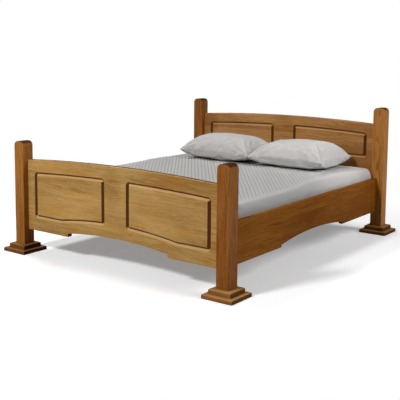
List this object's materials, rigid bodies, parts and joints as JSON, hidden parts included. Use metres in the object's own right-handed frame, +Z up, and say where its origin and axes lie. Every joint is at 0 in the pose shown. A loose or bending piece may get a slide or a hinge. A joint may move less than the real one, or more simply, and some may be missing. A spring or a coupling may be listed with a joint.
{
  "type": "panel bed",
  "caption": "Oak panel bed with round-shouldered posts on stepped plinths, arched boards with routed raised fields, shaped side rails, slatted base, mattress and pillows.",
  "frame": {"origin": "on the floor, under the middle of the bed", "axes": "+X across the bed, to the right seen from the foot; +Y from foot to head; +Z up"},
  "size_m": [1.892, 2.26, 0.954],
  "materials": {
    "oak": "satin varnish over stained oak",
    "base_pine": "planed, unfinished",
    "dowel_beech": "plain",
    "glide_plastic": "matt",
    "fitting_steel": "zinc plated",
    "screw_steel": "zinc plated",
    "mattress_cover": "quilted matt cover",
    "pillow_cotton": "soft cotton"
  },
  "bodies": {
    "bed_frame": {"centre_beam": "base_pine", "centre_leg": "base_pine", "centre_leg_dowel": "dowel_beech", "centre_leg_glide": "glide_plastic", "cleat_screws": "screw_steel", "foot_beam_hanger": "fitting_steel", "foot_left_hook_plate": "fitting_steel", "foot_left_plinth_lower": "oak", "foot_left_plinth_upper": "oak", "foot_left_post": "oak", "foot_left_receiver_plate": "fitting_steel", "foot_right_hook_plate": "fitting_steel", "foot_right_plinth_lower": "oak", "foot_right_plinth_upper": "oak", "foot_right_post": "oak", "foot_right_receiver_plate": "fitting_steel", "footboard": "oak", "hanger_screws": "screw_steel", "head_beam_hanger": "fitting_steel", "head_left_hook_plate": "fitting_steel", "head_left_plinth_lower": "oak", "head_left_plinth_upper": "oak", "head_left_post": "oak", "head_left_receiver_plate": "fitting_steel", "head_right_hook_plate": "fitting_steel", "head_right_plinth_lower": "oak", "head_right_plinth_upper": "oak", "head_right_post": "oak", "head_right_receiver_plate": "fitting_steel", "headboard": "oak", "hook_plate_screws": "screw_steel", "left_cleat": "base_pine", "left_rail": "oak", "plinth_screws": "screw_steel", "receiver_screws": "screw_steel", "right_cleat": "base_pine", "right_rail": "oak", "slat_01": "base_pine", "slat_02": "base_pine", "slat_03": "base_pine", "slat_04": "base_pine", "slat_05": "base_pine", "slat_06": "base_pine", "slat_07": "base_pine", "slat_08": "base_pine", "slat_09": "base_pine", "slat_10": "base_pine", "slat_11": "base_pine", "slat_12": "base_pine", "slat_13": "base_pine", "slat_14": "base_pine", "slat_screws": "screw_steel"},
    "mattress": {"mattress": "mattress_cover"},
    "left_pillow": {"left_pillow": "pillow_cotton"},
    "right_pillow": {"right_pillow": "pillow_cotton"}
  },
  "joints": [
    {"name": "mattress_lift", "type": "slide", "parent": "bed_frame", "child": "mattress", "axis": [0, 0, 1], "range_m": [0, 0.7]},
    {"name": "left_pillow_lift", "type": "slide", "parent": "mattress", "child": "left_pillow", "axis": [0, 0, 1], "range_m": [0, 0.4]},
    {"name": "right_pillow_lift", "type": "slide", "parent": "mattress", "child": "right_pillow", "axis": [0, 0, 1], "range_m": [0, 0.4]}
  ]
}
